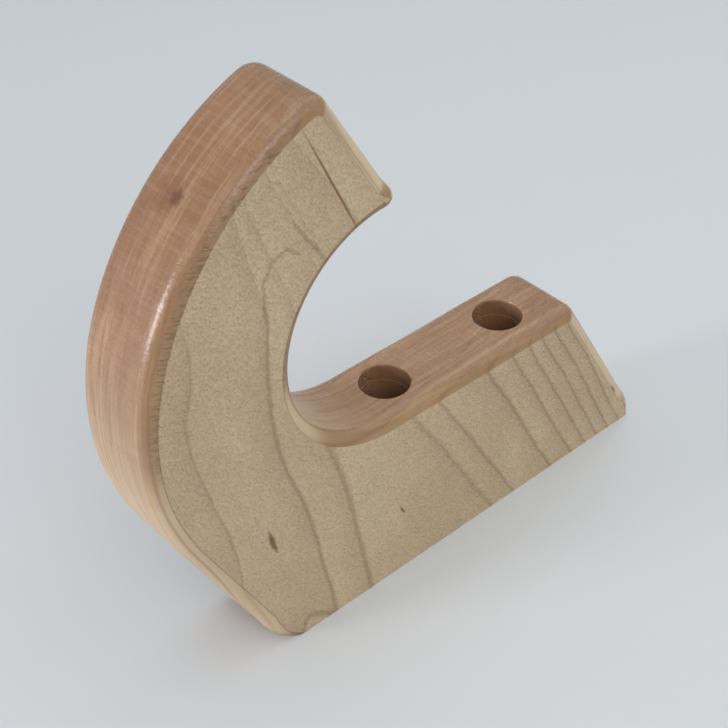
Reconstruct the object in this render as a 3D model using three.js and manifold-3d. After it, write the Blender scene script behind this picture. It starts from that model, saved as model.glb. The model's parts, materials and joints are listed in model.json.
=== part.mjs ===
// A wall hanger for an electric guitar: one thick maple hook, fixed to the wall by two wood screws.
//
// Frame: millimetres. The face that meets the wall lies on Z = 0 and +Z points away from the wall.
// +X runs along the foot, from the hook's back towards the foot's free end, which is up once the
// hanger is on a wall. Y is the thickness of the board, and both large faces are alike.
import * as THREE from "three";
import { mergeVertices } from "three/addons/utils/BufferGeometryUtils.js";
import Module from "manifold-3d";

const wasm = await Module();
wasm.setup();

const { degToRad } = THREE.MathUtils;
const QUARTER_TURN = Math.PI / 2;
const GAP = 0.3; // left between neighbouring pieces

// The board, and the router bit that softens its edges everywhere but along the wall.
const BOARD_THICKNESS = 23.2;
const EDGE_RADIUS = 3.5;
const EDGE_STEPS = 5;
const CURVE_STEPS = 18;
const WASTE = 8; // extra wood below the wall face, sawn off after the edges are routed

// The foot. Its seat is parallel to the wall, and the guitar's back comes against it.
const FOOT_LENGTH = 126.6; // from the heel's corner, before it is rounded, to the blunt toe
const SEAT_HEIGHT = 51.9;
const SEAT_END_X = 98.6; // where the seat meets the foot's leaning end
const SEAT_END_RADIUS = 4.5;
const TOE_HEIGHT = 6.2; // height of the blunt toe, before its corner is rounded
const TOE_RADIUS = 8;
const HEEL_RADIUS = 25;
const HEEL_START = 9.3; // where the heel's rounding starts, measured up the underside
const HEEL_LAST_SLOPE = degToRad(-15); // the rounding runs on into the waste

// The cradle, the round gap that the edge of the guitar's body lies in.
const CRADLE_RADIUS = 29.1;
const CRADLE_X = 35.3;

// The back: straight along the underside, then one long curve up to the tip.
const BACK_SLOPE = degToRad(118);
const UNDERSIDE_LENGTH = 49.7;
const BACK_LOWER_HANDLE = 53.4; // how far the curve keeps to its slope at each end
const BACK_UPPER_HANDLE = 32;
const BACK_END = new THREE.Vector2(12.1, 143.5);
const BACK_END_SLOPE = degToRad(20);

// The tip's end is cut square across the hook, and both of its corners are rounded.
const TIP_SLOPE = degToRad(121.5);
const TIP_OUTER_RADIUS = 5.6;
const TIP_INNER_RADIUS = 3.6;

// The screw holes, drilled from the seat: a wide bore for the head and a narrow one for the thread.
const LOWER_HOLE_X = 42.8;
const UPPER_HOLE_X = 81.6;
const BORE_RADIUS = 6.35;
const BORE_MOUTH_DEPTH = 4.6; // the first cutter stops here, and a slightly smaller one goes on
const BORE_LOWER_RADIUS = 6.05;
const BORE_FLOOR = 12; // wood left between the bore's floor and the wall
const CLEARANCE_RADIUS = 2.8;
const HOLE_SEGMENTS = 48;

// The wood screws and their washers.
const SCREW_LENGTH = 38;
const HEAD_RADIUS = 4.7;
const HEAD_HEIGHT = 3.2;
const SHANK_RADIUS = 1.9;
const ROOT_RADIUS = 1.7;
const THREAD_DEPTH = 0.7;
const THREAD_PITCH = 1.95;
const THREAD_END = 27; // height above the point where the thread runs out
const POINT_LENGTH = 5;
const STEPS_PER_PITCH = 8;
const SCREW_SEGMENTS = 16;
const HEAD_STEPS = 6;
const RECESS_LENGTH = 5.2;
const RECESS_WIDTH = 1.2;
const RECESS_DEPTH = 1.9;
const WASHER_RADIUS = 5;
const WASHER_HOLE_RADIUS = 2.75;
const WASHER_THICKNESS = 1;

const maple = new THREE.MeshStandardMaterial({ color: 0xb3a188, roughness: 0.55, metalness: 0 });
const zincPlate = new THREE.MeshStandardMaterial({ color: 0xc4c6c8, roughness: 0.35, metalness: 1 });

// Turns a closed three.js geometry into a solid that can be cut and joined.
function toSolid(geometry) {
  const bare = geometry.clone();
  bare.deleteAttribute("normal");
  bare.deleteAttribute("uv");
  const merged = mergeVertices(bare, 1e-4);
  const vertProperties = merged.attributes.position.array;
  const triVerts = new Uint32Array(merged.index.array);
  return new wasm.Manifold(new wasm.Mesh({ numProp: 3, vertProperties, triVerts }));
}

function toGeometry(solid) {
  const mesh = solid.getMesh();
  const geometry = new THREE.BufferGeometry();
  geometry.setAttribute("position", new THREE.BufferAttribute(mesh.vertProperties, 3));
  geometry.setIndex(new THREE.BufferAttribute(mesh.triVerts, 1));
  geometry.computeVertexNormals();
  return geometry;
}

// A vector of the given length that points along a slope.
function along(slope, length) {
  return new THREE.Vector2(Math.cos(slope), Math.sin(slope)).multiplyScalar(length);
}

// The circle of the given radius that touches both sides of a corner, and where it touches them.
function cornerCircle(previous, corner, next, radius) {
  const back = previous.clone().sub(corner).normalize();
  const onward = next.clone().sub(corner).normalize();
  const halfAngle = back.angleTo(onward) / 2;
  const reach = radius / Math.tan(halfAngle);
  const centre = back.clone().add(onward).setLength(radius / Math.sin(halfAngle)).add(corner);
  return {
    centre,
    radius,
    start: back.multiplyScalar(reach).add(corner),
    end: onward.multiplyScalar(reach).add(corner),
  };
}

function addCorner(path, { centre, radius, start, end }) {
  const startAngle = start.clone().sub(centre).angle();
  const endAngle = end.clone().sub(centre).angle();
  path.absarc(centre.x, centre.y, radius, startAngle, endAngle, false);
}

// Middle of the tip's inner corner. It touches the line of the tip's end and the cradle's round.
function tipInnerCentre(cradle, outerCentre) {
  const outward = along(TIP_SLOPE - QUARTER_TURN, 1);
  const lineOffset = outward.dot(outerCentre) + TIP_OUTER_RADIUS - TIP_INNER_RADIUS;
  const foot = outward.clone().multiplyScalar(lineOffset - outward.dot(cradle));
  const reach = CRADLE_RADIUS + TIP_INNER_RADIUS;
  const slide = Math.sqrt(reach * reach - foot.lengthSq());
  const downTheTip = along(TIP_SLOPE + Math.PI, slide);
  const upTheTip = along(TIP_SLOPE, slide);
  const candidates = [downTheTip, upTheTip].map((step) => step.add(foot).add(cradle));
  return candidates.sort((a, b) => b.y - a.y)[0];
}

// The hook seen from its large face, walked with the wood on the left. Below the wall line it
// goes on straight down, so that the router's rounding ends where the waste is sawn off.
function hookOutline() {
  const toeFoot = new THREE.Vector2(FOOT_LENGTH, -WASTE);
  const toe = new THREE.Vector2(FOOT_LENGTH, TOE_HEIGHT);
  const seatEnd = new THREE.Vector2(SEAT_END_X, SEAT_HEIGHT);
  const seatStart = new THREE.Vector2(CRADLE_X, SEAT_HEIGHT);
  const cradle = new THREE.Vector2(CRADLE_X, SEAT_HEIGHT + CRADLE_RADIUS);
  const backStart = along(BACK_SLOPE, UNDERSIDE_LENGTH);

  const heelCentre = along(BACK_SLOPE - QUARTER_TURN, HEEL_RADIUS).add(along(BACK_SLOPE, HEEL_START));
  const toeCorner = cornerCircle(toeFoot, toe, seatEnd, TOE_RADIUS);
  const seatCorner = cornerCircle(toe, seatEnd, seatStart, SEAT_END_RADIUS);
  const outerCentre = along(BACK_END_SLOPE - QUARTER_TURN, TIP_OUTER_RADIUS).add(BACK_END);
  const innerCentre = tipInnerCentre(cradle, outerCentre);
  const cradleEnd = innerCentre.clone().sub(cradle).angle();
  const lowerHandle = along(BACK_SLOPE, BACK_LOWER_HANDLE).add(backStart);
  const upperHandle = along(BACK_END_SLOPE + Math.PI, BACK_UPPER_HANDLE).add(BACK_END);

  const outline = new THREE.Shape();
  const heelStartAngle = BACK_SLOPE + QUARTER_TURN;
  const heelEndAngle = HEEL_LAST_SLOPE - QUARTER_TURN;
  outline.absarc(heelCentre.x, heelCentre.y, HEEL_RADIUS, heelStartAngle, heelEndAngle, false);
  outline.lineTo(outline.currentPoint.x, -WASTE);
  outline.lineTo(toeFoot.x, toeFoot.y);
  addCorner(outline, toeCorner);
  addCorner(outline, seatCorner);
  outline.absarc(cradle.x, cradle.y, CRADLE_RADIUS, -QUARTER_TURN, cradleEnd, true);
  const tipEndAngle = TIP_SLOPE - QUARTER_TURN;
  outline.absarc(innerCentre.x, innerCentre.y, TIP_INNER_RADIUS, cradleEnd + Math.PI, tipEndAngle, false);
  const backEndAngle = BACK_END_SLOPE + QUARTER_TURN;
  outline.absarc(outerCentre.x, outerCentre.y, TIP_OUTER_RADIUS, tipEndAngle, backEndAngle, false);
  outline.bezierCurveTo(upperHandle.x, upperHandle.y, lowerHandle.x, lowerHandle.y, backStart.x, backStart.y);
  outline.closePath();
  return outline;
}

// The hook as it leaves the router and the saw, before it is drilled.
function hookBlank() {
  const geometry = new THREE.ExtrudeGeometry(hookOutline(), {
    depth: BOARD_THICKNESS - 2 * EDGE_RADIUS,
    curveSegments: CURVE_STEPS,
    bevelEnabled: true,
    bevelThickness: EDGE_RADIUS,
    bevelSize: EDGE_RADIUS,
    bevelOffset: -EDGE_RADIUS,
    bevelSegments: EDGE_STEPS,
  });
  geometry.rotateX(QUARTER_TURN);
  geometry.translate(0, BOARD_THICKNESS / 2 - EDGE_RADIUS, 0);
  const waste = new THREE.BoxGeometry(2 * FOOT_LENGTH, 2 * BOARD_THICKNESS, 2 * WASTE);
  waste.translate(FOOT_LENGTH / 2, 0, -WASTE);
  return toSolid(geometry).subtract(toSolid(waste));
}

// A cylinder that stands on Z = bottom and ends at Z = top.
function drill(x, radius, bottom, top) {
  const geometry = new THREE.CylinderGeometry(radius, radius, top - bottom, HOLE_SEGMENTS);
  geometry.rotateX(QUARTER_TURN);
  geometry.translate(x, 0, (bottom + top) / 2);
  return toSolid(geometry);
}

function hookGeometry() {
  let solid = hookBlank();
  for (const x of [LOWER_HOLE_X, UPPER_HOLE_X]) {
    const mouthFloor = SEAT_HEIGHT - BORE_MOUTH_DEPTH;
    solid = solid.subtract(drill(x, BORE_RADIUS, mouthFloor, SEAT_HEIGHT + GAP));
    solid = solid.subtract(drill(x, BORE_LOWER_RADIUS, BORE_FLOOR, SEAT_HEIGHT));
    solid = solid.subtract(drill(x, CLEARANCE_RADIUS, -GAP, BORE_FLOOR + GAP));
  }
  return toGeometry(solid);
}

// Radius of the screw without its thread, from the point at height 0 to the end of the shank.
function screwCore(height) {
  if (height < POINT_LENGTH) return ROOT_RADIUS * Math.sqrt(height / POINT_LENGTH);
  return height < THREAD_END ? ROOT_RADIUS : SHANK_RADIUS;
}

// How far the thread stands out of the core at a height and at an angle round the screw.
function threadHeight(height, angle) {
  if (height >= THREAD_END) return 0;
  const phase = THREE.MathUtils.euclideanModulo(height / THREAD_PITCH - angle / (2 * Math.PI), 1);
  const crest = Math.max(0, 1 - Math.abs(phase - 0.5) * 4);
  const grows = Math.min(1, height / POINT_LENGTH);
  const runsOut = Math.min(1, (THREAD_END - height) / THREAD_PITCH);
  return THREAD_DEPTH * crest * grows * runsOut;
}

// A wood screw with its point at the origin and its head up.
function screwGeometry() {
  const profile = [];
  const step = THREAD_PITCH / STEPS_PER_PITCH;
  for (let height = 0; height < THREAD_END; height += step) {
    profile.push(new THREE.Vector2(screwCore(height), height));
  }
  const headStart = SCREW_LENGTH - HEAD_HEIGHT;
  profile.push(new THREE.Vector2(SHANK_RADIUS, THREAD_END));
  profile.push(new THREE.Vector2(SHANK_RADIUS, headStart));
  profile.push(new THREE.Vector2(HEAD_RADIUS, headStart));
  for (let i = 0; i < HEAD_STEPS; i += 1) {
    const turn = (QUARTER_TURN * i) / HEAD_STEPS;
    const rise = HEAD_HEIGHT * (0.35 + 0.65 * Math.sin(turn));
    profile.push(new THREE.Vector2(HEAD_RADIUS * Math.cos(turn), headStart + rise));
  }
  profile.push(new THREE.Vector2(0, SCREW_LENGTH));

  const geometry = new THREE.LatheGeometry(profile, SCREW_SEGMENTS);
  const position = geometry.attributes.position;
  for (let i = 0; i < position.count; i += 1) {
    const [x, y, z] = [position.getX(i), position.getY(i), position.getZ(i)];
    const radius = Math.hypot(x, z);
    if (radius === 0) continue;
    const grown = (radius + threadHeight(y, Math.atan2(x, z))) / radius;
    position.setXYZ(i, x * grown, y, z * grown);
  }
  geometry.rotateX(QUARTER_TURN);

  let solid = toSolid(geometry);
  for (const turn of [0, QUARTER_TURN]) {
    const slot = new THREE.BoxGeometry(RECESS_LENGTH, RECESS_WIDTH, 2 * RECESS_DEPTH);
    slot.rotateZ(turn);
    slot.translate(0, 0, SCREW_LENGTH);
    solid = solid.subtract(toSolid(slot));
  }
  return toGeometry(solid);
}

// A flat washer that stands on Z = 0.
function washerGeometry() {
  const section = [
    new THREE.Vector2(WASHER_HOLE_RADIUS, 0),
    new THREE.Vector2(WASHER_RADIUS, 0),
    new THREE.Vector2(WASHER_RADIUS, WASHER_THICKNESS),
    new THREE.Vector2(WASHER_HOLE_RADIUS, WASHER_THICKNESS),
    new THREE.Vector2(WASHER_HOLE_RADIUS, 0),
  ];
  return new THREE.LatheGeometry(section, HOLE_SEGMENTS).rotateX(QUARTER_TURN);
}

// A screw stands in its hole with its point just clear of the wall face and its washer under the
// head, ready to be driven.
function addScrew(parent, name, x) {
  const screw = new THREE.Mesh(screwGeometry(), zincPlate);
  screw.name = `${name}_screw`;
  screw.position.set(x, 0, GAP);
  const washer = new THREE.Mesh(washerGeometry(), zincPlate);
  washer.name = `${name}_washer`;
  washer.position.set(x, 0, SCREW_LENGTH - HEAD_HEIGHT - WASHER_THICKNESS);
  parent.add(screw, washer);
}

const hook = new THREE.Mesh(hookGeometry(), maple);
hook.name = "hook";

const hanger = new THREE.Group();
hanger.add(hook);
addScrew(hanger, "lower", LOWER_HOLE_X);
addScrew(hanger, "upper", UPPER_HOLE_X);

// The frame's origin is in the middle of the hook's length, on the wall face.
const middle = new THREE.Box3().setFromObject(hook).getCenter(new THREE.Vector3());
hanger.position.x = -middle.x;

export default hanger;
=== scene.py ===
# %% [markdown]
# # A maple wall hanger for a guitar
# The real object is one board of maple, sawn to a hook, with two counterbored screw holes, two wood
# screws and two washers. The solid model of it is already made and fixed. This lesson loads it, gives
# the hook a finely meshed skin with the marks that a router, a drill and sandpaper leave, and finishes
# wood and metal with node materials.

# %% Load the fixed frame
import json
import math

import bmesh
import bpy
import numpy as np
from mathutils import Matrix, Vector
from mathutils.geometry import delaunay_2d_cdt


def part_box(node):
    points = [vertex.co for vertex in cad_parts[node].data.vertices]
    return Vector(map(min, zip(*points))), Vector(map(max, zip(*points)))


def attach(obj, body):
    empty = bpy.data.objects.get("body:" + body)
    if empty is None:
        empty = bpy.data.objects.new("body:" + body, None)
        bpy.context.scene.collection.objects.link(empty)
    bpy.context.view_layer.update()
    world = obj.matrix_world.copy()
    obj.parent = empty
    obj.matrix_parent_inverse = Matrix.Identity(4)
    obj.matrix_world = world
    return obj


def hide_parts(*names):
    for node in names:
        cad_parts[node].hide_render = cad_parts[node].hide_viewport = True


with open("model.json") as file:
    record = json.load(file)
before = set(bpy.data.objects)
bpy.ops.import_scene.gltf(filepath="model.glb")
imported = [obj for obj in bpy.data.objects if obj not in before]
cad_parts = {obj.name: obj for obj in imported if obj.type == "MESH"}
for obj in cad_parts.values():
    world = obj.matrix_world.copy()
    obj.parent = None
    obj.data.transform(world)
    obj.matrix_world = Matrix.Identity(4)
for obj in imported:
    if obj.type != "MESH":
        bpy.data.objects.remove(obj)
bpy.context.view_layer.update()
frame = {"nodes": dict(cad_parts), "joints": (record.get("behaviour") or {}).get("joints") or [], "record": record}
MM = 0.001

# %% [markdown]
# ## The camera
# The camera stands above the hook's back and looks down along the foot. It is placed by an azimuth, an
# elevation and a distance from an aim point inside the hook, because those three can be changed one at
# a time. A longish lens keeps the hook from looking stretched.

# %% Place the camera
AIM = Vector((-7.3, 3.8, 56.7)) * MM
CAMERA_DISTANCE = 370 * MM
AZIMUTH = math.radians(-42.06)
ELEVATION = math.radians(39.16)
ROLL = math.radians(-0.29)
SENSOR_WIDTH = 36.0
LENS_LENGTH = 76.88
NEAREST_SEEN = 0.01


def aimed(towards, distance):
    """The place at a distance from the aim point in one direction, looking back at the aim point."""
    turn = towards.to_track_quat("Z", "Y").to_matrix().to_4x4()
    return Matrix.Translation(AIM + towards * distance) @ turn


back = Vector((
    math.sin(AZIMUTH) * math.cos(ELEVATION),
    -math.cos(AZIMUTH) * math.cos(ELEVATION),
    math.sin(ELEVATION),
))
camera_data = bpy.data.cameras.new("camera")
camera_data.sensor_width = SENSOR_WIDTH
camera_data.lens = LENS_LENGTH
camera_data.clip_start = NEAREST_SEEN
camera = bpy.data.objects.new("camera", camera_data)
bpy.context.scene.collection.objects.link(camera)
camera.matrix_world = aimed(back, CAMERA_DISTANCE) @ Matrix.Rotation(ROLL, 4, "Z")
bpy.context.scene.camera = camera
print("camera at, mm:", [round(v / MM, 1) for v in camera.location])

# %% [markdown]
# ## The table
# The hook stands on its wall face on a pale table that is wide enough to fill the picture from any
# side. The table is only there to be stood on.

# %% Lay the table
TABLE_HALF_SIZE = 3.0
TABLE_COLOUR = (0.612, 0.630, 0.632, 1)
TABLE_ROUGHNESS = 0.55

table_mesh = bpy.data.meshes.new("table")
corners = [(-1, -1, 0), (1, -1, 0), (1, 1, 0), (-1, 1, 0)]
table_mesh.from_pydata([Vector(c) * TABLE_HALF_SIZE for c in corners], [], [(0, 1, 2, 3)])
table = bpy.data.objects.new("table", table_mesh)
bpy.context.scene.collection.objects.link(table)

table_paint = bpy.data.materials.new("table_paint")
table_paint.use_nodes = True
table_shader = table_paint.node_tree.nodes["Principled BSDF"]
table_shader.inputs["Base Color"].default_value = TABLE_COLOUR
table_shader.inputs["Roughness"].default_value = TABLE_ROUGHNESS
table_mesh.materials.append(table_paint)
print("table of", 2 * TABLE_HALF_SIZE, "m")

# %% [markdown]
# ## The light
# It is soft daylight. A very big panel overhead leaves hardly any shadow, a low window behind on the
# left puts the sheen on the curved back, and the sky fills the rest. The window's spread is narrow, so
# that it doesn't burn out the table in front of it. The plain view transform keeps the colours as they
# are mixed.

# %% Fill the sky and hang the lights
SKY_COLOUR = (0.80, 0.87, 0.95, 1)
SKY_STRENGTH = 0.58
LIGHTS = {
    # name: (direction towards the light, distance, width, height, spread in degrees, watts, colour)
    "overhead_panel": ((0.30, -0.20, 1.0), 1.5, 2.4, 2.4, 180, 15.0, (1.0, 0.985, 0.96)),
    "left_window": ((-0.88, 0.27, 0.15), 1.1, 0.36, 0.36, 60, 0.80, (1.0, 0.92, 1.0)),
    "front_key": ((-0.30, -0.85, 0.72), 1.6, 0.7, 0.6, 180, 5.5, (1.0, 0.99, 0.98)),
}

world = bpy.data.worlds.new("sky")
world.use_nodes = True
world.node_tree.nodes["Background"].inputs["Color"].default_value = SKY_COLOUR
world.node_tree.nodes["Background"].inputs["Strength"].default_value = SKY_STRENGTH
bpy.context.scene.world = world
bpy.context.scene.view_settings.view_transform = "Standard"

for name, (direction, distance, width, height, spread, watts, colour) in LIGHTS.items():
    light = bpy.data.lights.new(name, "AREA")
    light.shape = "RECTANGLE"
    light.size = width
    light.size_y = height
    light.spread = math.radians(spread)
    light.energy = watts
    light.color = colour
    lamp = bpy.data.objects.new(name, light)
    lamp.matrix_world = aimed(Vector(direction).normalized(), distance)
    bpy.context.scene.collection.objects.link(lamp)
print(len(LIGHTS), "lights:", ", ".join(LIGHTS))

# %% [markdown]
# ## The board's outline
# The hook was bandsawn from a board and its edges were routed. The solid model's walls are straight
# between the two rounded edges, so its vertices on the line where the rounding starts are exactly the
# outline. They are read in order, from the toe, over the seat, the cradle and the tip, down the back to
# the heel, both ends on the wall.

# %% Read the outline from the solid model
LOW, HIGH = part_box("hook")
HALF_BOARD = HIGH.y
EDGE_RADIUS = 3.5 * MM
SAME_PLACE = 0.01 * MM


def read_outline():
    """The outline's points (x, z), found by walking from vertex to vertex along the line."""
    solid = bmesh.new()
    solid.from_mesh(frame["nodes"]["hook"].data)
    bmesh.ops.remove_doubles(solid, verts=solid.verts, dist=SAME_PLACE)
    line_y = HALF_BOARD - EDGE_RADIUS
    on_line = {v for v in solid.verts if abs(v.co.y - line_y) < SAME_PLACE}
    walk = [max((v for v in on_line if v.co.z < SAME_PLACE), key=lambda v: v.co.x)]
    while True:
        here = walk[-1]
        steps = [e.other_vert(here) for e in here.link_edges]
        steps = [v for v in steps if v in on_line and v not in walk[-2:]]
        steps = [v for v in steps if v.co.z > SAME_PLACE or here.co.z > SAME_PLACE]
        if not steps:
            break
        walk.append(steps[0])
        if steps[0].co.z < SAME_PLACE:
            break
    points = np.array([(v.co.x, v.co.z) for v in walk])
    solid.free()
    return points


outline = read_outline()
print(len(outline), "points from", (outline[0] / MM).round(1), "to", (outline[-1] / MM).round(1))

# %% [markdown]
# ## A finer outline
# The solid model's outline is a chain of short chords, which would show as facets in the sheen of the
# curved back. Each chord is replaced by a cubic curve whose ends follow the circle through three
# neighbouring points. A long chord is a straight edge of the real hook, so it stays straight.

# %% Smooth the outline
STEP = 0.55 * MM
STRAIGHT_OVER = 12 * MM


def ease(value):
    """0 below 0 and 1 above 1, with a smooth rise between them."""
    t = np.clip(value, 0, 1)
    return t * t * (3 - 2 * t)


def find_tangents(points, lengths, headings):
    tangents = np.empty_like(points)
    tangents[0], tangents[-1] = headings[0], headings[-1]
    for i in range(1, len(points) - 1):
        before, after = lengths[i - 1], lengths[i]
        if before > STRAIGHT_OVER:
            tangents[i] = headings[i - 1]
        elif after > STRAIGHT_OVER:
            tangents[i] = headings[i]
        else:
            tangents[i] = headings[i - 1] * after + headings[i] * before
        tangents[i] /= np.linalg.norm(tangents[i])
    return tangents


def smooth_outline(points):
    """The same outline as cubic curves, with a point about every STEP."""
    chords = np.diff(points, axis=0)
    lengths = np.linalg.norm(chords, axis=1)
    tangents = find_tangents(points, lengths, chords / lengths[:, None])
    fine = []
    for a, b, ta, tb, length in zip(points[:-1], points[1:], tangents[:-1], tangents[1:], lengths):
        for t in np.arange(0, 1, 1 / max(1, round(length / STEP))):
            leave = t * (1 - t) * (1 - t) * length
            arrive = t * t * (t - 1) * length
            fine.append(a + (b - a) * ease(t) + ta * leave + tb * arrive)
    fine.append(points[-1])
    return np.array(fine)


smooth = np.clip(smooth_outline(outline), [LOW.x, LOW.z], [HIGH.x, HIGH.z])
print(len(smooth), "points along the smooth outline")

# %% [markdown]
# ## Into the waste
# The board was routed before its foot was sawn flat. So the outline runs on below the wall face at both
# ends, into wood that is sawn off later. Each point also gets the direction that leads into the wood,
# because the rounded edge is measured from the outline inwards.

# %% Run the outline into the waste
WASTE = 10 * MM
HEEL_POINTS = 3


def run_into_waste(points):
    toe, heel = points[0], points[-1]
    heel_heading = heel - points[-1 - HEEL_POINTS]
    heel_heading /= np.linalg.norm(heel_heading)
    count = round(WASTE / STEP)
    below_toe = [toe + np.array([0, -STEP * i]) for i in range(count, 0, -1)]
    below_heel = [heel + heel_heading * STEP * i for i in range(1, count + 1)]
    return np.vstack([below_toe, points, below_heel])


path = run_into_waste(smooth)
headings = np.gradient(path, axis=0)
headings /= np.linalg.norm(headings, axis=1)[:, None]
inward = np.stack([-headings[:, 1], headings[:, 0]], axis=1)
print(len(path), "points with the waste")

# %% [markdown]
# ## How big the rounding is
# A router bit with a ball bearing rounded both edges all the way round. The bit ran out towards the
# wall face and was eased off round the tip's sharp corner, so the radius is smaller there. Hand sanding
# left it a little uneven too, and a seeded wave stands in for that.

# %% Set the radius along the outline
SANDED_UNEVENNESS = 0.22 * MM
SANDED_PERIOD = 18 * MM
RUN_OUT_HEIGHT = 12 * MM
TOE_SHARE = 0.32
HEEL_SHARE = 0.58
CORNER_SHARE = 0.5
CORNER_LENGTH = 5.5 * MM
TIP_ABOVE = 104 * MM
rng = np.random.default_rng(7)


def slow_wave(count, period, amplitude):
    """A smooth random wave of values from 0 to amplitude along the outline."""
    knots = rng.random(int(count * STEP / period) + 3)
    x = np.linspace(0, len(knots) - 1.001, count)  # ends just before the last knot
    i = x.astype(int)
    t = ease(x - i)
    return amplitude * (knots[i] * (1 - t) + knots[i + 1] * t)


def radius_share():
    """The share of the full radius that the bit left at each point of the outline."""
    x, z = path[:, 0], path[:, 1]
    least = np.where(x > 0, TOE_SHARE, HEEL_SHARE)
    share = least + (1 - least) * ease(z / RUN_OUT_HEIGHT)
    corner = np.argmax(np.where(z > TIP_ABOVE, x, -1))
    travelled = np.insert(np.cumsum(np.linalg.norm(np.diff(path, axis=0), axis=1)), 0, 0)
    away = np.abs(travelled - travelled[corner])
    return share * (CORNER_SHARE + (1 - CORNER_SHARE) * ease(away / CORNER_LENGTH))


share = radius_share()
front_radius = (EDGE_RADIUS + slow_wave(len(path), SANDED_PERIOD, SANDED_UNEVENNESS)) * share
back_radius = (EDGE_RADIUS + slow_wave(len(path), SANDED_PERIOD, SANDED_UNEVENNESS)) * share
print("radius from", round(front_radius.min() / MM, 2), "to", round(front_radius.max() / MM, 2), "mm")

# %% [markdown]
# ## The routed edges
# The bit was set a little shallow, so its quarter circle meets the wall and the face at a faint crease.
# The cutter is drawn once as a short profile, and the profile is swept along the outline: real work in
# the same order as on the bench.

# %% Sweep the router's profile along the outline
CREASE = math.radians(6)
ROUND_STEPS = 10
WALL_STEPS = 16


def router_profile():
    """Points (inward, outward) across one rounded edge, from wall to face, for a radius of 1."""
    angles = np.linspace(CREASE, math.pi / 2 - CREASE, ROUND_STEPS + 1)
    curve = np.stack([1 - np.cos(angles), np.sin(angles)], axis=1)
    return (curve - curve[0]) / (curve[-1] - curve[0])


def ring_at(side, radius, inn, out):
    """One line of points along the outline, at a place on the rounded edge of one side."""
    edge = path + inward * (radius * inn)[:, None]
    y = side * (HALF_BOARD - radius * (1 - out))
    return np.stack([edge[:, 0], y, edge[:, 1]], axis=1)


rounded = router_profile()
flat = HALF_BOARD - EDGE_RADIUS
walls = np.linspace(-flat, flat, WALL_STEPS + 1)[1:-1]
rings = [ring_at(-1, front_radius, inn, out) for inn, out in rounded[::-1]]
rings += [np.insert(path, 1, y, axis=1) for y in walls]
rings += [ring_at(1, back_radius, inn, out) for inn, out in rounded]
print("swept", len(rings), "lines by", len(path), "points")

# %% Join the lines into a skin
block = bmesh.new()
verts = [[block.verts.new(p) for p in ring] for ring in rings]
for j in range(len(rings) - 1):
    for i in range(len(path) - 1):
        block.faces.new((verts[j][i], verts[j][i + 1], verts[j + 1][i + 1], verts[j + 1][i]))
print(len(block.faces), "faces in the swept skin")

# %% [markdown]
# ## The large faces
# The two planed faces are flat, but one big polygon would shade badly beside the rounded edge. So each
# face gets a grid of points, and a constrained Delaunay triangulation joins the grid to the edge.

# %% Lay a grid of points inside a face
FACE_GRID = 1.6 * MM
CLEAR_OF_EDGE = 0.6 * FACE_GRID


def inside(points, loop):
    """True for each point inside a closed loop, by counting crossings."""
    x, z = points[:, 0:1], points[:, 1:2]
    x0, z0 = loop[:, 0], loop[:, 1]
    x1, z1 = np.roll(x0, -1), np.roll(z0, -1)
    crosses = (z0 > z) != (z1 > z)
    at = x0 + (z - z0) * (x1 - x0) / np.where(z1 == z0, 1, z1 - z0)
    return (crosses & (x < at)).sum(axis=1) % 2 == 1


def face_grid(loop):
    """Grid points inside a loop, none of them too near its edge."""
    low, high = loop.min(axis=0), loop.max(axis=0)
    xs = np.arange(low[0], high[0], FACE_GRID)
    zs = np.arange(low[1], high[1], FACE_GRID)
    grid = np.array([(x, z) for x in xs for z in zs])
    grid = grid[inside(grid, loop)]
    nearest = np.array([np.min(np.sum((loop - p) ** 2, axis=1)) for p in grid])
    return grid[nearest > CLEAR_OF_EDGE ** 2]


front_grid = face_grid(rings[0][:, [0, 2]])
back_grid = face_grid(rings[-1][:, [0, 2]])
print(len(front_grid), "grid points in front and", len(back_grid), "behind")

# %% Fill both faces and close the block
INSIDE_ONLY = 1
CLOSE_ENOUGH = 1e-9

for ring, row, grid, y in (
    (rings[0], verts[0], front_grid, -HALF_BOARD),
    (rings[-1], verts[-1], back_grid, HALF_BOARD),
):
    loop = ring[:, [0, 2]]
    points = [Vector(p) for p in np.vstack([loop, grid])]
    edges = [(i, (i + 1) % len(loop)) for i in range(len(loop))]
    _, _, triangles, *_ = delaunay_2d_cdt(points, edges, [], INSIDE_ONLY, CLOSE_ENOUGH)
    spots = row + [block.verts.new((x, y, z)) for x, z in grid]
    for triangle in triangles:
        block.faces.new([spots[i] for i in triangle])
toe_end, heel_end = [ring[0] for ring in verts], [ring[-1] for ring in verts]
for j in range(len(rings) - 1):
    block.faces.new((toe_end[j], toe_end[j + 1], heel_end[j + 1], heel_end[j]))
print(len(block.faces), "faces in the block")

# %% [markdown]
# ## Sawing off the waste
# The foot is cut flat where it meets the wall, after the routing, so that edge stays square. Blender's
# bisect does the saw's work: it cuts along the plane of the wall, throws the waste away and leaves an
# open rim, which is then closed with one flat face.

# %% Saw the foot flat
everything = block.verts[:] + block.edges[:] + block.faces[:]
bmesh.ops.bisect_plane(
    block, geom=everything, plane_co=(0, 0, 0), plane_no=(0, 0, 1), clear_inner=True
)
rim = [e for e in block.edges if e.is_boundary]
bmesh.ops.edgeloop_fill(block, edges=rim)
bmesh.ops.recalc_face_normals(block, faces=block.faces)
hook_mesh = bpy.data.meshes.new("maple_hook")
block.to_mesh(hook_mesh)
block.free()
maple_hook = bpy.data.objects.new("maple_hook", hook_mesh)
bpy.context.scene.collection.objects.link(maple_hook)
print("sawn rim of", len(rim), "edges")

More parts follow.
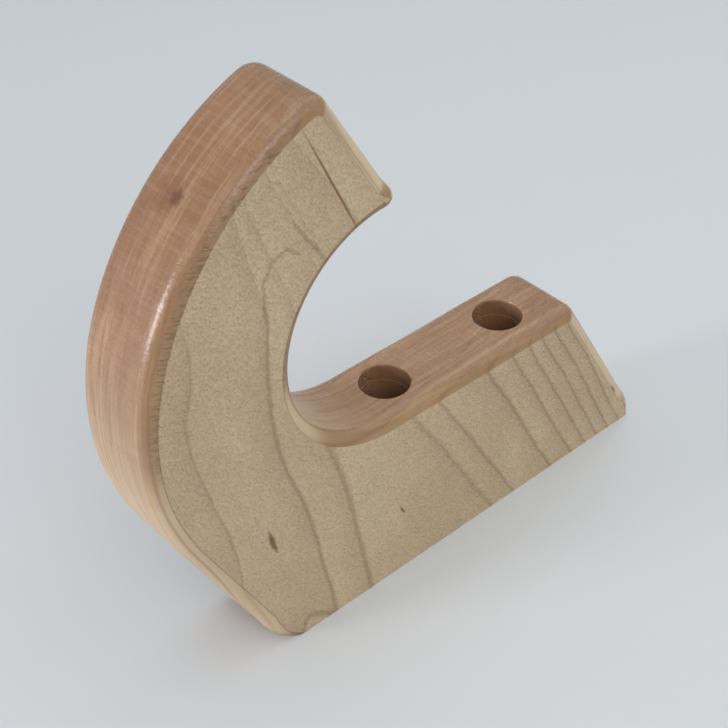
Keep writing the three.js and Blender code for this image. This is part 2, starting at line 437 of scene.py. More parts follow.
# %% [markdown]
# ## The cutters
# A wide bit cut each counterbore from the seat in two passes, the second a hair smaller, which left a
# fine ledge, and a narrow bit went on through the foot. The bits tore a few chips out of the rim on
# their way in. Each cutter is turned like a shape on a lathe, with a seeded wobble in its topmost
# rings for the chips.

# %% Measure the holes
SEAT_HEIGHT = frame["record"]["mounts"][1]["pos_m"][2]
HOLE_X = [j["pos_m"][0] for j in frame["joints"] if j["type"] == "hinge"]
MOUTH_RADIUS = 6.35 * MM
LEDGE_DEPTH = 4.6 * MM
LOWER_RADIUS = 6.05 * MM
BORE_FLOOR = 12 * MM
CLEARANCE_RADIUS = 2.8 * MM
BROKEN_EDGE = 0.12 * MM
print("holes at, mm:", [round(x / MM, 1) for x in HOLE_X], "from a seat at", round(SEAT_HEIGHT / MM, 1))

# %% Tear the rim
CHIP_REACH = 0.55 * MM
CHIP_DEPTH = 0.8 * MM
CHIP_HALF_DEPTH = 0.3 * MM
CHIP_WAVES = (2, 3, 5, 9, 14, 23)
CHIP_RARITY = 1.1
TURN_STEPS = 96


def chips(count):
    """How far the rim is torn out at each angle: nearly nowhere, with a few sharp chips."""
    angles = np.linspace(0, 2 * math.pi, count, endpoint=False)
    rough = sum(
        np.sin(angles * k + rng.random() * 2 * math.pi) / math.sqrt(k) for k in CHIP_WAVES
    )
    return np.clip(rough - CHIP_RARITY, 0, 1)


torn_rims = [chips(TURN_STEPS) * CHIP_REACH for _ in HOLE_X]
print("deepest chips, mm:", [round(float(torn.max()) / MM, 2) for torn in torn_rims])

# %% Turn a cutter on the lathe
CLEAR = 2 * MM


def cutter_rings(torn):
    """Rings (radius, height, how far each point is torn out), from the wall face to above the seat."""
    steady = np.zeros(TURN_STEPS)
    ledge = SEAT_HEIGHT - LEDGE_DEPTH
    return [
        (CLEARANCE_RADIUS, -CLEAR, steady),
        (CLEARANCE_RADIUS, BORE_FLOOR, steady),
        (LOWER_RADIUS, BORE_FLOOR, steady),
        (LOWER_RADIUS, ledge, steady),
        (MOUTH_RADIUS, ledge, steady),
        (MOUTH_RADIUS, SEAT_HEIGHT - CHIP_DEPTH, steady),
        (MOUTH_RADIUS, SEAT_HEIGHT - CHIP_HALF_DEPTH, torn * 0.5),
        (MOUTH_RADIUS + BROKEN_EDGE, SEAT_HEIGHT, torn),
        (MOUTH_RADIUS + BROKEN_EDGE, SEAT_HEIGHT + CLEAR, torn),
    ]


def turn_cutter(x, torn):
    """A closed cutter that stands upright at x."""
    bit = bmesh.new()
    rows = []
    for ring_radius, z, extra in cutter_rings(torn):
        row = []
        for k in range(TURN_STEPS):
            angle = 2 * math.pi * k / TURN_STEPS
            r = ring_radius + extra[k]
            row.append(bit.verts.new((x + r * math.cos(angle), r * math.sin(angle), z)))
        rows.append(row)
    for lower, upper in zip(rows[:-1], rows[1:]):
        for k in range(TURN_STEPS):
            m = (k + 1) % TURN_STEPS
            bit.faces.new((lower[k], lower[m], upper[m], upper[k]))
    bit.faces.new(rows[0][::-1])
    bit.faces.new(rows[-1])
    mesh = bpy.data.meshes.new("drill_bit")
    bit.to_mesh(mesh)
    bit.free()
    return bpy.data.objects.new("drill_bit", mesh)


cutters = [turn_cutter(x, torn) for x, torn in zip(HOLE_X, torn_rims)]
print(len(cutters), "cutters of", len(cutters[0].data.polygons), "faces")

# %% [markdown]
# ## Drilling
# A boolean takes each cutter out of the block, and its result becomes the block's own mesh, so that no
# cutter is left in the scene. Corners sharper than 32 degrees stay crisp, and all the rest is shaded
# smooth.

# %% Drill both holes
CRISP_OVER = math.radians(32)


def cut_away(piece, tool):
    bpy.context.scene.collection.objects.link(tool)
    modifier = piece.modifiers.new("cut", "BOOLEAN")
    modifier.operation = "DIFFERENCE"
    modifier.solver = "EXACT"
    modifier.object = tool
    bpy.context.view_layer.update()
    cut_piece = piece.evaluated_get(bpy.context.evaluated_depsgraph_get())
    cut = bpy.data.meshes.new_from_object(cut_piece)
    piece.modifiers.clear()
    piece.data = cut
    bpy.data.objects.remove(tool)


for x, tool in zip(HOLE_X, cutters):
    cut_away(maple_hook, tool)
    print("drilled at", round(x / MM, 1), "mm,", len(maple_hook.data.polygons), "faces")
maple_hook.data.shade_smooth()
maple_hook.data.set_sharp_from_angle(angle=CRISP_OVER)
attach(maple_hook, "hook")
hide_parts("hook")
print("the hook has", sum(e.use_edge_sharp for e in maple_hook.data.edges), "crisp edges")

# %% [markdown]
# ## Small helpers for node trees
# A wood finish is a long sum of small steps: measure, compare, mix. These helpers add one node each and
# give back its output, so that the cells below read like the sums they stand for. A value may be a
# plain number or another node's output.

# %% Helpers for sums


def feed(tree, socket, value):
    """Sets a socket to a plain value, or links another node's output to it."""
    if isinstance(value, bpy.types.NodeSocket):
        tree.links.new(value, socket)
    else:
        socket.default_value = value


def feed_named(tree, sockets, values):
    for name, value in values.items():
        feed(tree, sockets[name], value)


def maths(tree, operation, a, b=0.0, c=0.0):
    node = tree.nodes.new("ShaderNodeMath")
    node.operation = operation
    for socket, value in zip(node.inputs, (a, b, c)):
        feed(tree, socket, value)
    return node.outputs[0]


def times(tree, first, *others):
    for other in others:
        first = maths(tree, "MULTIPLY", first, other)
    return first


def plus(tree, first, *others):
    for other in others:
        first = maths(tree, "ADD", first, other)
    return first


def minus(tree, a, b):
    return maths(tree, "SUBTRACT", a, b)


def linear(tree, value, gain, start):
    """start, plus gain times the value."""
    return maths(tree, "MULTIPLY_ADD", value, gain, start)


def ramp(tree, value, low, high, out_low=0.0, out_high=1.0):
    """Eases from out_low to out_high as the value goes from low to high."""
    node = tree.nodes.new("ShaderNodeMapRange")
    node.interpolation_type = "SMOOTHSTEP"
    feed_named(tree, node.inputs, {
        "Value": value, "From Min": low, "From Max": high, "To Min": out_low, "To Max": out_high,
    })
    return node.outputs[0]


print("helpers for sums: feed, maths, times, plus, minus, linear and ramp")

# %% [markdown]
# ## Helpers for points and patterns
# A pattern is read at a point. Scaling the point stretches or squeezes the pattern, and turning the
# point leans it, so most of the wood's figure is plain noise read at a scaled point.

# %% Helpers for points, noise and colours


def vector_maths(tree, operation, a, b=(0, 0, 0)):
    """A sum of two vectors. A dot product or a length gives a plain number."""
    node = tree.nodes.new("ShaderNodeVectorMath")
    node.operation = operation
    feed(tree, node.inputs[0], a)
    feed(tree, node.inputs[1], b)
    return node.outputs["Value" if operation in ("DOT_PRODUCT", "LENGTH") else "Vector"]


def scaled(tree, vector, factors):
    return vector_maths(tree, "MULTIPLY", vector, factors)


def xyz(tree, vector):
    node = tree.nodes.new("ShaderNodeSeparateXYZ")
    feed(tree, node.inputs[0], vector)
    return node.outputs["X"], node.outputs["Y"], node.outputs["Z"]


def turned(tree, vector, angle, centre=(0, 0, 0)):
    """Turns a point about a line through the centre, straight through the board's thickness."""
    node = tree.nodes.new("ShaderNodeVectorRotate")
    node.rotation_type = "Y_AXIS"
    feed_named(tree, node.inputs, {"Vector": vector, "Angle": angle, "Center": centre})
    return node.outputs[0]


def noise(tree, vector, scale, detail=2.0, rough=0.5, twist=0.0):
    node = tree.nodes.new("ShaderNodeTexNoise")
    feed_named(tree, node.inputs, {
        "Vector": vector, "Scale": scale, "Detail": detail, "Roughness": rough, "Distortion": twist,
    })
    return node.outputs["Fac"]


def wave(tree, point, size, height):
    """A random wave of a size in millimetres, as far above nought as below it."""
    return linear(tree, noise(tree, point, 1 / size), height, -height / 2)


def tint(tree, share, a, b):
    """Mixes colour b over colour a."""
    node = tree.nodes.new("ShaderNodeMix")
    node.data_type = "RGBA"
    feed_named(tree, node.inputs, {"Factor": share, "A": a, "B": b})
    return node.outputs["Result"]


print("helpers for patterns: vector_maths, scaled, xyz, turned, noise, wave and tint")

# %% [markdown]
# ## Helpers for groups
# Part of a finish that is used more than once is made as a node group. It has named sockets like any
# other node, and gives out only colours, masks and numbers. The shader itself stays in the material.

# %% Helpers for groups
FLOAT, VECTOR, COLOUR = "NodeSocketFloat", "NodeSocketVector", "NodeSocketColor"


def floats(*names):
    return [(name, FLOAT) for name in names]


def new_group(name, inputs, outputs):
    """An empty shader group with its sockets, and its input and output nodes."""
    tree = bpy.data.node_groups.new(name, "ShaderNodeTree")
    for socket_name, kind, default in inputs:
        socket = tree.interface.new_socket(socket_name, in_out="INPUT", socket_type=kind)
        socket.default_value = default
    for socket_name, kind in outputs:
        tree.interface.new_socket(socket_name, in_out="OUTPUT", socket_type=kind)
    group_input = tree.nodes.new("NodeGroupInput")
    group_output = tree.nodes.new("NodeGroupOutput")
    return tree, group_input.outputs, group_output.inputs


def place_group(tree, group, **values):
    """Puts a group into a tree. A value's name is the socket's name with _ for each space."""
    node = tree.nodes.new("ShaderNodeGroup")
    node.node_tree = group
    for name, value in values.items():
        feed(tree, node.inputs[name.replace("_", " ")], value)
    return node.outputs


print("helpers for groups: floats, new_group and place_group")

# %% [markdown]
# ## The wood's own axes
# Colour in wood follows the tree and not the cut. The fibres of this board lean 24 degrees from
# upright, and the board was sawn nearly along the growth rings. So the pattern is a solid one: each
# point of the block has its place in the tree, and every cut face shows what it meets. This group
# gives a point in millimetres, and the same point turned so that its Z runs along the fibres.

# %% Group: the point in the block
FIBRE_LEAN = math.radians(24)
FIBRE = (math.sin(FIBRE_LEAN), 0.0, -math.cos(FIBRE_LEAN))
TO_MILLIMETRES = (1 / MM,) * 3


def make_place_group():
    tree, _, outputs = new_group(
        "point in the block", [], [("Point", VECTOR), ("Along Fibre", VECTOR)]
    )
    place = tree.nodes.new("ShaderNodeTexCoord").outputs["Object"]
    point = scaled(tree, place, TO_MILLIMETRES)
    along_fibre = turned(tree, point, FIBRE_LEAN)
    feed_named(tree, outputs, {"Point": point, "Along Fibre": along_fibre})
    return tree


PLACE = make_place_group()
print(PLACE.name, "with the fibres along", [round(v, 3) for v in FIBRE])

# %% [markdown]
# ## What each surface cuts through
# End grain drinks more oil than side grain, so it is darker and redder. How much of it a surface shows
# is the angle between the surface and the fibres. How far the surface turns towards the board's
# thickness tells the planed faces from the routed edges. An edge counts only where it lies beside end
# grain: most of its width is the routed edge, and its last strip before the face is the cut rim, where
# the bit tore the fibres.

# %% Group: kinds of cut
LEAST_EDGE_TURN = 0.05


def make_cut_group():
    kinds = floats("End Grain", "Planed Face", "Routed Edge", "Cut Rim")
    tree, _, outputs = new_group("kinds of cut", [], kinds)
    normal = tree.nodes.new("ShaderNodeTexCoord").outputs["Normal"]
    along = maths(tree, "ABSOLUTE", vector_maths(tree, "DOT_PRODUCT", normal, FIBRE))
    sideways = maths(tree, "ABSOLUTE", xyz(tree, normal)[1])
    planed = ramp(tree, sideways, 0.975, 0.995)

    from_face = maths(tree, "SQRT", minus(tree, 1.0, times(tree, sideways, sideways)))
    from_face = maths(tree, "MAXIMUM", from_face, LEAST_EDGE_TURN)
    beside_end = ramp(tree, maths(tree, "DIVIDE", along, from_face), 0.15, 0.50)
    off_wall = minus(tree, ramp(tree, sideways, 0.20, 0.60), planed)
    last_strip = times(
        tree, ramp(tree, sideways, 0.72, 0.92), ramp(tree, sideways, 0.985, 0.998, 1, 0)
    )
    feed_named(tree, outputs, {
        "End Grain": ramp(tree, along, 0.05, 0.80),
        "Planed Face": planed,
        "Routed Edge": times(tree, off_wall, beside_end),
        "Cut Rim": times(tree, last_strip, beside_end),
    })
    return tree


CUTS = make_cut_group()
print(CUTS.name, "gives", [socket.name for socket in CUTS.interface.items_tree])

# %% [markdown]
# ## Growth rings
# A flat-sawn board shows its rings as wide lines on the face and as fine even lines on its edges. Each
# ring is a slightly bent sheet in the block. A line's place on the front face is given where it meets
# the foot's wall face, in millimetres. So the first step is to run from any point down its own sheet to
# the wall face: the sheets lean one way over the foot and another up the hook, the ones in the curved
# back bulge, and the ones beside the cradle have a hump.

# %% Find where a sheet meets the wall face
WAVES = ((24, 2.5), (3.0, 0.9))  # size and height of each, in millimetres
SHEET_LEAN_HOOK, SHEET_LEAN_FOOT, SHEET_LEAN_TOE = 0.18, 0.62, 0.06
BULGE_HEIGHT, BULGE = 55, 0.0035
HUMP_HEIGHT, HUMP_REACH, HUMP = 66, 36, 3.4
HOLLOW_ABOVE_HUMP = -2.6


def sheet_bend(tree, z, rough_foot):
    """How far a sheet bends away from a straight one at the height z."""
    from_bulge = maths(tree, "ABSOLUTE", minus(tree, z, BULGE_HEIGHT))
    bulge = times(tree, maths(tree, "POWER", from_bulge, 2), BULGE)
    bulge = times(tree, bulge, ramp(tree, rough_foot, -40, -30, 1, 0))
    from_hump = maths(tree, "ABSOLUTE", minus(tree, z, HUMP_HEIGHT))
    hump = ramp(tree, from_hump, 0, HUMP_REACH, HUMP, 0)
    hump = plus(tree, hump, ramp(tree, z, 85, 110, 0, HOLLOW_ABOVE_HUMP))
    hump = times(tree, hump, ramp(tree, rough_foot, -12, 0, 1, 0))
    return plus(tree, bulge, hump)


def sheet_foot(tree, point):
    """Where the sheet through a point meets the wall face, as a place along the foot."""
    x, _, z = xyz(tree, point)
    wavy = plus(tree, x, *[wave(tree, point, size, height) for size, height in WAVES])
    rough_foot = linear(tree, z, 0.4, wavy)
    lean = ramp(tree, rough_foot, -3, 13, SHEET_LEAN_HOOK, SHEET_LEAN_FOOT)
    lean = minus(tree, lean, ramp(tree, rough_foot, 25, 45, 0, SHEET_LEAN_TOE))
    return plus(tree, linear(tree, lean, z, wavy), sheet_bend(tree, z, rough_foot))


print("sheets lean from", SHEET_LEAN_HOOK, "in the hook to", SHEET_LEAN_FOOT, "in the foot")

# %% [markdown]
# ## Counting the rings
# A curve node through listed points turns a place along the foot into a ring's number, so that the
# rings can be close together in one stretch and far apart in another. Going deeper into the board, the
# next rings come about every 2 mm.

# %% Count the rings
RING_FEET = [-51, -31, -19.5, 24.5, 33, 47, 55.5, 61.5, 66.7, 71.4, 76, 80.5, 85, 90]
FEET_LOW, FEET_HIGH = -90.0, 110.0
RINGS_IN_BACK = [(FEET_LOW, 0.30), (-58.0, 0.45)]
RING_COUNT = len(RING_FEET) + 1
RING_SPACING = 1.9
WANDER_SQUEEZE, WANDER = (0.015, 0.24, 0.015), 6.0


def curve_through(tree, value, points):
    """A curve node through given points, over the stretch of the foot that the rings cover."""
    node = tree.nodes.new("ShaderNodeFloatCurve")
    curve = node.mapping.curves[0]
    while len(curve.points) < len(points):
        curve.points.new(0.5, 0.5)
    for knot, (x, y) in zip(curve.points, points):
        knot.location = ((x - FEET_LOW) / (FEET_HIGH - FEET_LOW), y)
        knot.handle_type = "AUTO_CLAMPED"
    node.mapping.update()
    span = ramp(tree, value, FEET_LOW, FEET_HIGH)
    span.node.interpolation_type = "LINEAR"
    feed(tree, node.inputs["Value"], span)
    return node.outputs["Value"]


def ring_number(tree, point, foot):
    """Counts the rings, with whole numbers on the lines, and fewer the deeper the point lies."""
    behind = [(x, number / RING_COUNT) for x, number in RINGS_IN_BACK]
    numbered = [(x, (i + 1) / RING_COUNT) for i, x in enumerate(RING_FEET)]
    curve = curve_through(tree, foot, behind + numbered + [(FEET_HIGH, 1.0)])
    ring = times(tree, curve, RING_COUNT)
    depth = plus(tree, xyz(tree, point)[1], HALF_BOARD / MM)
    wander = wave(tree, scaled(tree, point, WANDER_SQUEEZE), 1.0, WANDER)
    wander = times(tree, wander, ramp(tree, depth, 0, 5))
    return minus(tree, ring, maths(tree, "DIVIDE", plus(tree, depth, wander), RING_SPACING))


print(len(RING_FEET), "rings meet the wall face")

# %% [markdown]
# ## The rings' lines
# Late wood makes the dark line of a ring. Its width is given in millimetres on the face and as a share
# of the spacing on the edges. The face shows no rings near the tip and beside the cradle. The group
# also gives a soft dark band before each line, and one random tone for each ring, because no two
# summers are alike.

# %% Group: growth rings
FACE_LINE_WIDTH = 0.95
EDGE_LINE_WIDTH = 0.24
BAND_SHARPNESS = 2.5


def ring_line(tree, ring, foot, planed):
    """1 on a ring's line, and down to 0 beside it."""
    from_middle = maths(tree, "ABSOLUTE", minus(tree, maths(tree, "FRACT", ring), 0.5))
    gaps = [b - a for a, b in zip(RING_FEET[:-1], RING_FEET[1:])]
    nearest = [min(a, b) for a, b in zip([gaps[0]] + gaps, gaps + [gaps[-1]])]
    widths = [(x, FACE_LINE_WIDTH / gap) for x, gap in zip(RING_FEET, nearest)]
    width = tree.nodes.new("ShaderNodeMix")
    feed_named(tree, width.inputs, {
        "Factor": planed, "A": EDGE_LINE_WIDTH, "B": curve_through(tree, foot, widths),
    })
    from_line = minus(tree, 0.5, from_middle)
    from_line = maths(tree, "DIVIDE", from_line, width.outputs["Result"])
    return ramp(tree, from_line, 0, 1, 1, 0)


def quiet_zone(tree, point, planed):
    """1 where the face shows no rings."""
    x, _, z = xyz(tree, point)
    beside_cradle = times(tree, ramp(tree, z, 70, 80), ramp(tree, x, -44, -41))
    near_tip = ramp(tree, z, 101, 106)
    return times(tree, maths(tree, "MAXIMUM", near_tip, beside_cradle), planed)


def make_ring_group():
    tree, _, outputs = new_group("growth rings", [], floats("Line", "Band", "Ring Tone"))
    point = place_group(tree, PLACE)["Point"]
    planed = place_group(tree, CUTS)["Planed Face"]
    foot = sheet_foot(tree, point)
    ring = ring_number(tree, point, foot)
    shown = minus(tree, 1, quiet_zone(tree, point, planed))
    tone = tree.nodes.new("ShaderNodeTexWhiteNoise")
    tone.noise_dimensions = "1D"
    feed(tree, tone.inputs["W"], maths(tree, "FLOOR", plus(tree, ring, 0.5)))
    feed_named(tree, outputs, {
        "Line": times(tree, ring_line(tree, ring, foot, planed), shown),
        "Band": maths(tree, "POWER", maths(tree, "FRACT", ring), BAND_SHARPNESS),
        "Ring Tone": tone.outputs["Value"],
    })
    return tree


RINGS = make_ring_group()
print(RINGS.name, "made of", len(RINGS.nodes), "nodes")

# %% [markdown]
# ## Flecks, rays, streaks and torn grain
# Maple is full of small marks. On a flat-sawn face its rays end as tiny dark spindles along the fibres,
# which also leave a fine dimpled feel. On end grain the same rays run as pale threads across the rings,
# and oil sinks in along thin streaks and slow clouds. Over the curved back the bit tore short ticks out
# of the rim. Each is noise, squeezed along or across the fibres; beside them the group gives a painted shade that
# darkens the hook towards its top.

# %% Group: small marks
SQUEEZE = {
    # how many times the noise repeats in a millimetre: along X, through the board, along Z
    "Fleck": (2.6, 1.6, 0.9),
    "Ray": (1.3, 0.09, 1.3),
    "Dimple": (2.0, 1.0, 1.2),
    "Cloud": (0.05, 0.05, 0.025),
    "Torn": (0.35, 0.9, 1.7),
    "Streak": (0.035, 0.8, 0.035),
}


def make_fleck_group():
    tree, _, outputs = new_group("small marks", [], floats(*SQUEEZE, "Painted Top Shade"))
    place = place_group(tree, PLACE)
    point, fibre_point = place["Point"], place["Along Fibre"]
    x, _, z = xyz(tree, point)

    def squeezed(name, at, *character):
        return noise(tree, scaled(tree, at, SQUEEZE[name]), 1.0, *character)

    torn = ramp(tree, squeezed("Torn", point, 2.0, 0.6), 0.46, 0.66)
    over_back = ramp(tree, x, -45, -35, 1, 0)
    feed_named(tree, outputs, {
        "Fleck": ramp(tree, squeezed("Fleck", fibre_point, 1.5, 0.5), 0.56, 0.72),
        "Ray": ramp(tree, squeezed("Ray", fibre_point, 3.0, 0.7, 0.3), 0.40, 0.66),
        "Dimple": squeezed("Dimple", fibre_point, 1.5, 0.5),
        "Cloud": squeezed("Cloud", fibre_point, 3.0, 0.55),
        "Torn": times(tree, torn, over_back),
        "Streak": ramp(tree, squeezed("Streak", point, 4.0, 0.75), 0.36, 0.64),
        # painted shade: the hook gets darker towards its top
        "Painted Top Shade": ramp(tree, z, 95, 135),
    })
    return tree


FLECKS = make_fleck_group()
print(FLECKS.name, "gives", [socket.name for socket in FLECKS.interface.items_tree])

# %% [markdown]
# ## Single marks
# A pin knot on the back, a few mineral streaks, two thin dark lines near the tip and some pieces of a
# growth ring below them are this board's own. Each is a soft ellipse with a ragged edge, placed in
# millimetres and leaned as needed. The group is placed once for each mark.

# %% Group: one mark
MARK_SOCKETS = [
    ("Centre", VECTOR, (0, 0, 0)),
    ("Half Size", VECTOR, (1, 1, 1)),
    ("Lean", FLOAT, 0.0),
    ("Raggedness", FLOAT, 0.8),
]
RAGGED_SCALE, RAGGED_DETAIL = 0.9, 3.0
SOLID_WITHIN = 0.35


def make_mark_group():
    tree, inputs, outputs = new_group("one mark", MARK_SOCKETS, floats("Mark"))
    point = place_group(tree, PLACE)["Point"]
    straight = turned(tree, point, inputs["Lean"], inputs["Centre"])
    offset = vector_maths(tree, "SUBTRACT", straight, inputs["Centre"])
    reach = vector_maths(tree, "LENGTH", vector_maths(tree, "DIVIDE", offset, inputs["Half Size"]))
    ragged = minus(tree, noise(tree, point, RAGGED_SCALE, RAGGED_DETAIL), 0.5)
    reach = plus(tree, reach, times(tree, ragged, inputs["Raggedness"]))
    feed(tree, outputs["Mark"], ramp(tree, reach, SOLID_WITHIN, 1.0, 1, 0))
    return tree


ONE_MARK = make_mark_group()
print(ONE_MARK.name, "made of", len(ONE_MARK.nodes), "nodes")

# %% [markdown]
# ## The colours of oiled maple
# The colour is built up as the wood was: pale side grain, redder end grain, a golden tone where the
# router's bit burnished the edge, clouds of deeper oil, and the rings over them.

# %% Mix the grain and the rings
SIDE_GRAIN = (0.625, 0.478, 0.294, 1)
END_GRAIN = (0.365, 0.210, 0.110, 1)
ROUTED_GRAIN = (0.290, 0.165, 0.058, 1)
# used for the oil stains in the clouds and for the painted shade in the dimples' hollows
STAIN_AND_SHADE = (0.255, 0.135, 0.065, 1)
LATE_WOOD = (0.240, 0.115, 0.060, 1)


def grain_colour(tree, cuts, flecks):
    end = cuts["End Grain"]
    colour = tint(tree, end, SIDE_GRAIN, END_GRAIN)
    colour = tint(tree, times(tree, cuts["Routed Edge"], 0.80), colour, ROUTED_GRAIN)
    cloud = ramp(tree, flecks["Cloud"], 0.35, 0.65)
    return tint(tree, times(tree, cloud, linear(tree, end, 0.35, 0.16)), colour, STAIN_AND_SHADE)


def with_rings(tree, colour, planed, rings):
    """Draws the rings: even ones on the planed faces, and a mix of strong and weak on the edges."""
    least = linear(tree, planed, 0.45, 0.25)
    tone = linear(tree, rings["Ring Tone"], minus(tree, 1, least), least)
    line = times(tree, rings["Line"], tone, linear(tree, planed, -0.18, 0.72))
    band = times(tree, rings["Band"], tone, 0.26)
    return tint(tree, maths(tree, "MAXIMUM", line, band), colour, LATE_WOOD)


print("side grain", SIDE_GRAIN[:3], "end grain", END_GRAIN[:3], "late wood", LATE_WOOD[:3])

# %% [markdown]
# ## The marks over the grain
# The oil's streaks and the painted shade towards the hook's top show on end grain only, the dimples and the
# painted shade in their hollows on the planed faces only, and the torn ticks on the cut rim only. So each mark is
# multiplied by the mask of its own kind of cut.

# %% Mix the small marks
# the colour of the painted shade at the top of the hook
PAINTED_TOP_SHADE = (0.210, 0.105, 0.042, 1)
TORN_GRAIN = (0.120, 0.055, 0.030, 1)
PALE_RAY = (0.600, 0.420, 0.320, 1)


def with_streaks_and_top_shade(tree, colour, end, flecks):
    # painted shade: end grain darkened towards the top of the hook
    colour = tint(tree, times(tree, flecks["Painted Top Shade"], end, 0.55), colour, PAINTED_TOP_SHADE)
    dark = ramp(tree, flecks["Streak"], 0.5, 1.0)
    colour = tint(tree, times(tree, dark, end, 0.40), colour, LATE_WOOD)
    pale = ramp(tree, flecks["Streak"], 0.4, 0.0)
    return tint(tree, times(tree, pale, end, 0.17), colour, SIDE_GRAIN)


def with_small_marks(tree, colour, cuts, flecks, torn):
    planed, end = cuts["Planed Face"], cuts["End Grain"]
    # painted shade: the planed faces are darker in the dimples' hollows
    dimple_hollow_shade = ramp(tree, flecks["Dimple"], 0.36, 0.62, 0.20, 0)
    colour = tint(tree, times(tree, dimple_hollow_shade, planed), colour, STAIN_AND_SHADE)
    fleck = times(tree, flecks["Fleck"], linear(tree, planed, 0.10, 0.07))
    colour = tint(tree, fleck, colour, LATE_WOOD)
    colour = tint(tree, times(tree, flecks["Ray"], end, 0.11), colour, PALE_RAY)
    return tint(tree, times(tree, torn, 0.42), colour, TORN_GRAIN)


print("torn grain", TORN_GRAIN[:3], "pale rays", PALE_RAY[:3])

# %% Place the single marks
MINERAL = (0.130, 0.052, 0.022, 1)
KNOT_RED = (0.220, 0.085, 0.042, 1)
MARKS = [
    # centre, half size, lean in degrees, raggedness, strength, colour
    ((-49.3, -11.6, 37.4), (1.05, 3.0, 5.2), 14, 0.9, 0.85, MINERAL),
    ((-8.6, -11.6, 20.2), (0.50, 2.0, 2.4), 27, 0.8, 0.75, MINERAL),
    ((71.5, -11.6, 13.6), (0.8, 3.0, 2.6), 30, 0.8, 0.65, MINERAL),
    ((-58.9, 2.6, 127.9), (5.2, 4.0, 5.2), 0, 1.3, 0.55, KNOT_RED),
    ((-58.6, 0.0, 128.0), (2.6, 1.9, 2.6), 0, 1.2, 0.75, MINERAL),
    ((-47.9, -11.6, 104.5), (0.80, 6.0, 7.0), 0, 0.9, 0.36, LATE_WOOD),
    ((-46.9, -11.6, 110.2), (0.80, 6.0, 4.0), -29, 0.9, 0.36, LATE_WOOD),
    ((-43.6, -11.6, 113.3), (0.80, 6.0, 4.0), -73, 0.9, 0.36, LATE_WOOD),
    ((-40.1, -11.6, 112.8), (0.80, 6.0, 3.2), 50, 0.9, 0.36, LATE_WOOD),
    ((-28.6, -11.6, 122.5), (0.42, 6.0, 25.0), 25.7, 0.25, 0.85, KNOT_RED),
    ((-21.6, -11.6, 125.2), (0.40, 6.0, 17.0), 31, 0.5, 0.35, LATE_WOOD),
    ((-35.6, -11.6, 113.0), (0.80, 6.0, 11.0), 33, 0.8, 0.42, LATE_WOOD),
]


def with_single_marks(tree, colour):
    for centre, half_size, lean, raggedness, strength, mark_colour in MARKS:
        mark = place_group(
            tree, ONE_MARK, Centre=centre, Half_Size=half_size, Lean=math.radians(lean),
            Raggedness=raggedness,
        )["Mark"]
        colour = tint(tree, times(tree, mark, strength), colour, mark_colour)
    return colour


print(len(MARKS), "single marks")

# %% [markdown]
# ## The finish as one group
# The outside and the bores are the same wood, so the whole finish is one group with three outputs. The
# planed face is less glossy than the routed end grain. The height is kept to what fingers would feel:
# dimples, mostly on the planed faces, and the shallow torn ticks on the rim.

# %% Group: maple finish


def roughness_of(tree, cuts, flecks):
    rough = linear(tree, flecks["Dimple"], 0.20, 0.34)
    rough = linear(tree, cuts["End Grain"], -0.17, rough)
    return linear(tree, cuts["Planed Face"], 0.14, rough)


def height_of(tree, cuts, flecks, torn):
    dimples = times(tree, flecks["Dimple"], linear(tree, cuts["Planed Face"], 1.3, 0.12))
    return minus(tree, dimples, times(tree, torn, 0.25))


def make_finish_group():
    tree, _, outputs = new_group(
        "maple finish", [], [("Colour", COLOUR), ("Roughness", FLOAT), ("Height", FLOAT)]
    )
    cuts, rings, flecks = (place_group(tree, group) for group in (CUTS, RINGS, FLECKS))
    torn = times(tree, flecks["Torn"], cuts["Cut Rim"])
    colour = grain_colour(tree, cuts, flecks)
    colour = with_rings(tree, colour, cuts["Planed Face"], rings)
    colour = with_streaks_and_top_shade(tree, colour, cuts["End Grain"], flecks)
    colour = with_small_marks(tree, colour, cuts, flecks, torn)
    feed_named(tree, outputs, {
        "Colour": with_single_marks(tree, colour),
        "Roughness": roughness_of(tree, cuts, flecks),
        "Height": height_of(tree, cuts, flecks, torn),
    })
    return tree


FINISH = make_finish_group()
print(FINISH.name, "made of", len(FINISH.nodes), "nodes")

# %% [markdown]
# ## Oiled maple, outside and in the bores
# Both materials hold the same finish. In the bores the spinning bit burnished the wood and the oil
# pooled, and the bores lie in shade, so their colour is mixed most of the way to late wood: part burnish and part
# painted shade.

# %% Material: oiled maple
WOOD_IOR = 1.5
GRAIN_HEIGHT = 0.5 * MM
# the bores' share of late wood's colour: part burnish, part painted shade of the deep bores
BURNISH_AND_SHADE = 0.82


def add_bump(tree, shader, height, distance):
    bump = tree.nodes.new("ShaderNodeBump")
    feed_named(tree, bump.inputs, {"Strength": 1.0, "Distance": distance, "Height": height})
    feed(tree, shader.inputs["Normal"], bump.outputs["Normal"])


def make_maple(name, darker):
    """Oiled maple. darker is the share of late wood's colour in the whole finish."""
    material = bpy.data.materials.new(name)
    material.use_nodes = True
    tree = material.node_tree
    shader = tree.nodes["Principled BSDF"]
    finish = place_group(tree, FINISH)
    colour = finish["Colour"]
    if darker:
        colour = tint(tree, darker, colour, LATE_WOOD)
    feed(tree, shader.inputs["Base Color"], colour)
    feed(tree, shader.inputs["Roughness"], finish["Roughness"])
    add_bump(tree, shader, finish["Height"], GRAIN_HEIGHT)
    shader.inputs["IOR"].default_value = WOOD_IOR
    return material


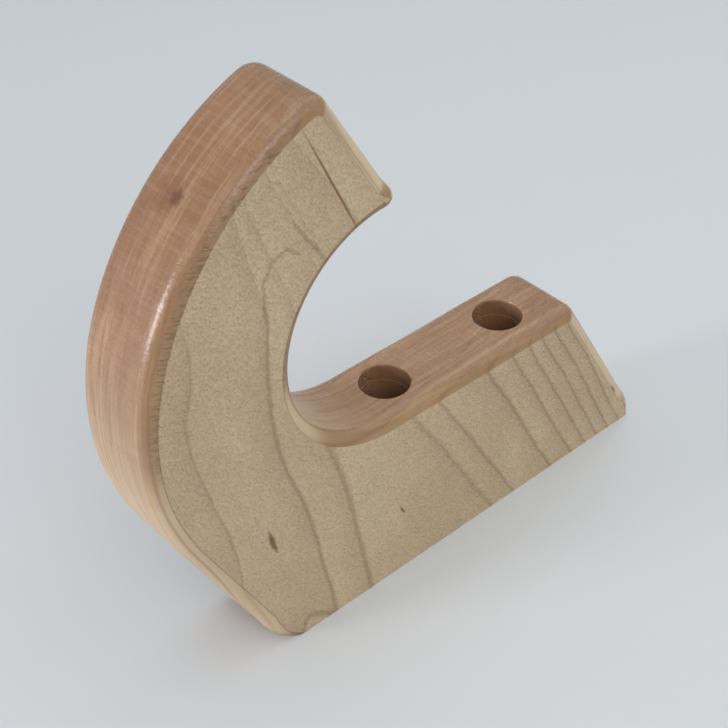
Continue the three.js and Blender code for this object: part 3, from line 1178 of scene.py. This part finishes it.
maple = make_maple("oiled_maple", 0.0)
bored_maple_painted_shade = make_maple("bored_maple_painted_shade", BURNISH_AND_SHADE)
print("materials", maple.name, "and", bored_maple_painted_shade.name)

# %% Give the bores their own finish
BORE_MARGIN = 0.7 * MM
BELOW_RIM = 0.5 * MM

hook_mesh = maple_hook.data
hook_mesh.materials.clear()
hook_mesh.materials.append(maple)
hook_mesh.materials.append(bored_maple_painted_shade)
# faces in the bores get the material with burnish and painted shade
for polygon in hook_mesh.polygons:
    x, y, z = polygon.center
    from_axis = min(math.hypot(x - hole, y) for hole in HOLE_X)
    in_wood = SAME_PLACE < z < SEAT_HEIGHT - BELOW_RIM
    polygon.material_index = int(from_axis < MOUTH_RADIUS + BORE_MARGIN and in_wood)
print("bored faces:", sum(p.material_index for p in hook_mesh.polygons))

# %% [markdown]
# ## Zinc-plated screws and washers
# Zinc plate is a bright blue-grey metal with a fine frosty grain. Small dents and wear lines change
# its roughness more than its colour, so the node noise feeds roughness and bump, and the colour only
# shifts a little between plated and slightly dulled.

# %% Material: zinc plate
ZINC = (0.62, 0.64, 0.66, 1)
DULL_ZINC = (0.42, 0.42, 0.42, 1)
FROST_HEIGHT = 0.02 * MM


def make_zinc():
    material = bpy.data.materials.new("zinc_plate")
    material.use_nodes = True
    tree = material.node_tree
    shader = tree.nodes["Principled BSDF"]
    shader.inputs["Metallic"].default_value = 1.0
    place = tree.nodes.new("ShaderNodeTexCoord").outputs["Object"]
    point = scaled(tree, place, TO_MILLIMETRES)
    frost = noise(tree, point, 2.2, 4.0, 0.65)
    worn = ramp(tree, noise(tree, point, 0.6, 3.0), 0.42, 0.66)
    feed(tree, shader.inputs["Base Color"], tint(tree, worn, ZINC, DULL_ZINC))
    rough = linear(tree, frost, 0.22, 0.22)
    feed(tree, shader.inputs["Roughness"], linear(tree, worn, 0.12, rough))
    add_bump(tree, shader, frost, FROST_HEIGHT)
    return material


ZINC_PIECES = ("lower_screw", "upper_screw", "lower_washer", "upper_washer")
zinc = make_zinc()
for name in ZINC_PIECES:
    node = frame["nodes"][name]
    node.data.materials.clear()
    node.data.materials.append(zinc)
print("zinc on", len(ZINC_PIECES), "pieces")
